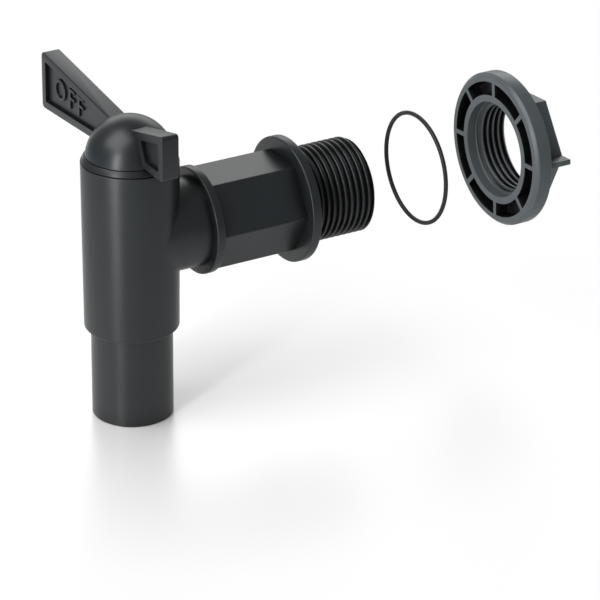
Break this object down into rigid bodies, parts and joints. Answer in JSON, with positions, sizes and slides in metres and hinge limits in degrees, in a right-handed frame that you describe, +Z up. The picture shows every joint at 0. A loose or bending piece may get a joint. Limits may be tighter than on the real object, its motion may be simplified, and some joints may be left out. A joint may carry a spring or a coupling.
{
  "type": "jerrycan tap",
  "caption": "Plastic drain tap for a jerrycan: quarter-turn lever plug in an upright barrel with a spout, threaded stem, seal ring and ribbed locknut.",
  "frame": {"origin": "centre of the flange's sealing face, on the axis of the threaded stem", "axes": "+Y along the threaded stem into the container, +Z up, the closed lever towards -X"},
  "size_m": [0.0685, 0.1396, 0.0887],
  "materials": {
    "body_plastic": "satin black moulded polypropylene",
    "plug_plastic": "satin black moulded polypropylene",
    "nut_plastic": "satin dark grey moulded polypropylene",
    "seal_rubber": "matt black nitrile rubber"
  },
  "bodies": {
    "tap_body": {"body": "body_plastic"},
    "plug": {"lever_plug": "plug_plastic", "plug_upper_ring": "seal_rubber", "plug_lower_ring": "seal_rubber"},
    "seal_ring": {"stem_seal_ring": "seal_rubber"},
    "nut": {"locknut": "nut_plastic"}
  },
  "joints": [
    {"name": "lever_turn", "type": "hinge", "parent": "tap_body", "child": "plug", "pos_m": [0, -0.0487, 0.0217], "axis": [0, 0, 1], "range_deg": [0, 90]},
    {"name": "locknut_slide", "type": "slide", "parent": "tap_body", "child": "nut", "axis": [0, 1, 0], "range_m": [-0.05986, 0]},
    {"name": "seal_ring_slide", "type": "slide", "parent": "tap_body", "child": "seal_ring", "axis": [0, 1, 0], "range_m": [-0.0401, 0]}
  ],
  "couplings": [
    {"joint": "seal_ring_slide", "follows": "locknut_slide", "ratio": 0.66987}
  ]
}
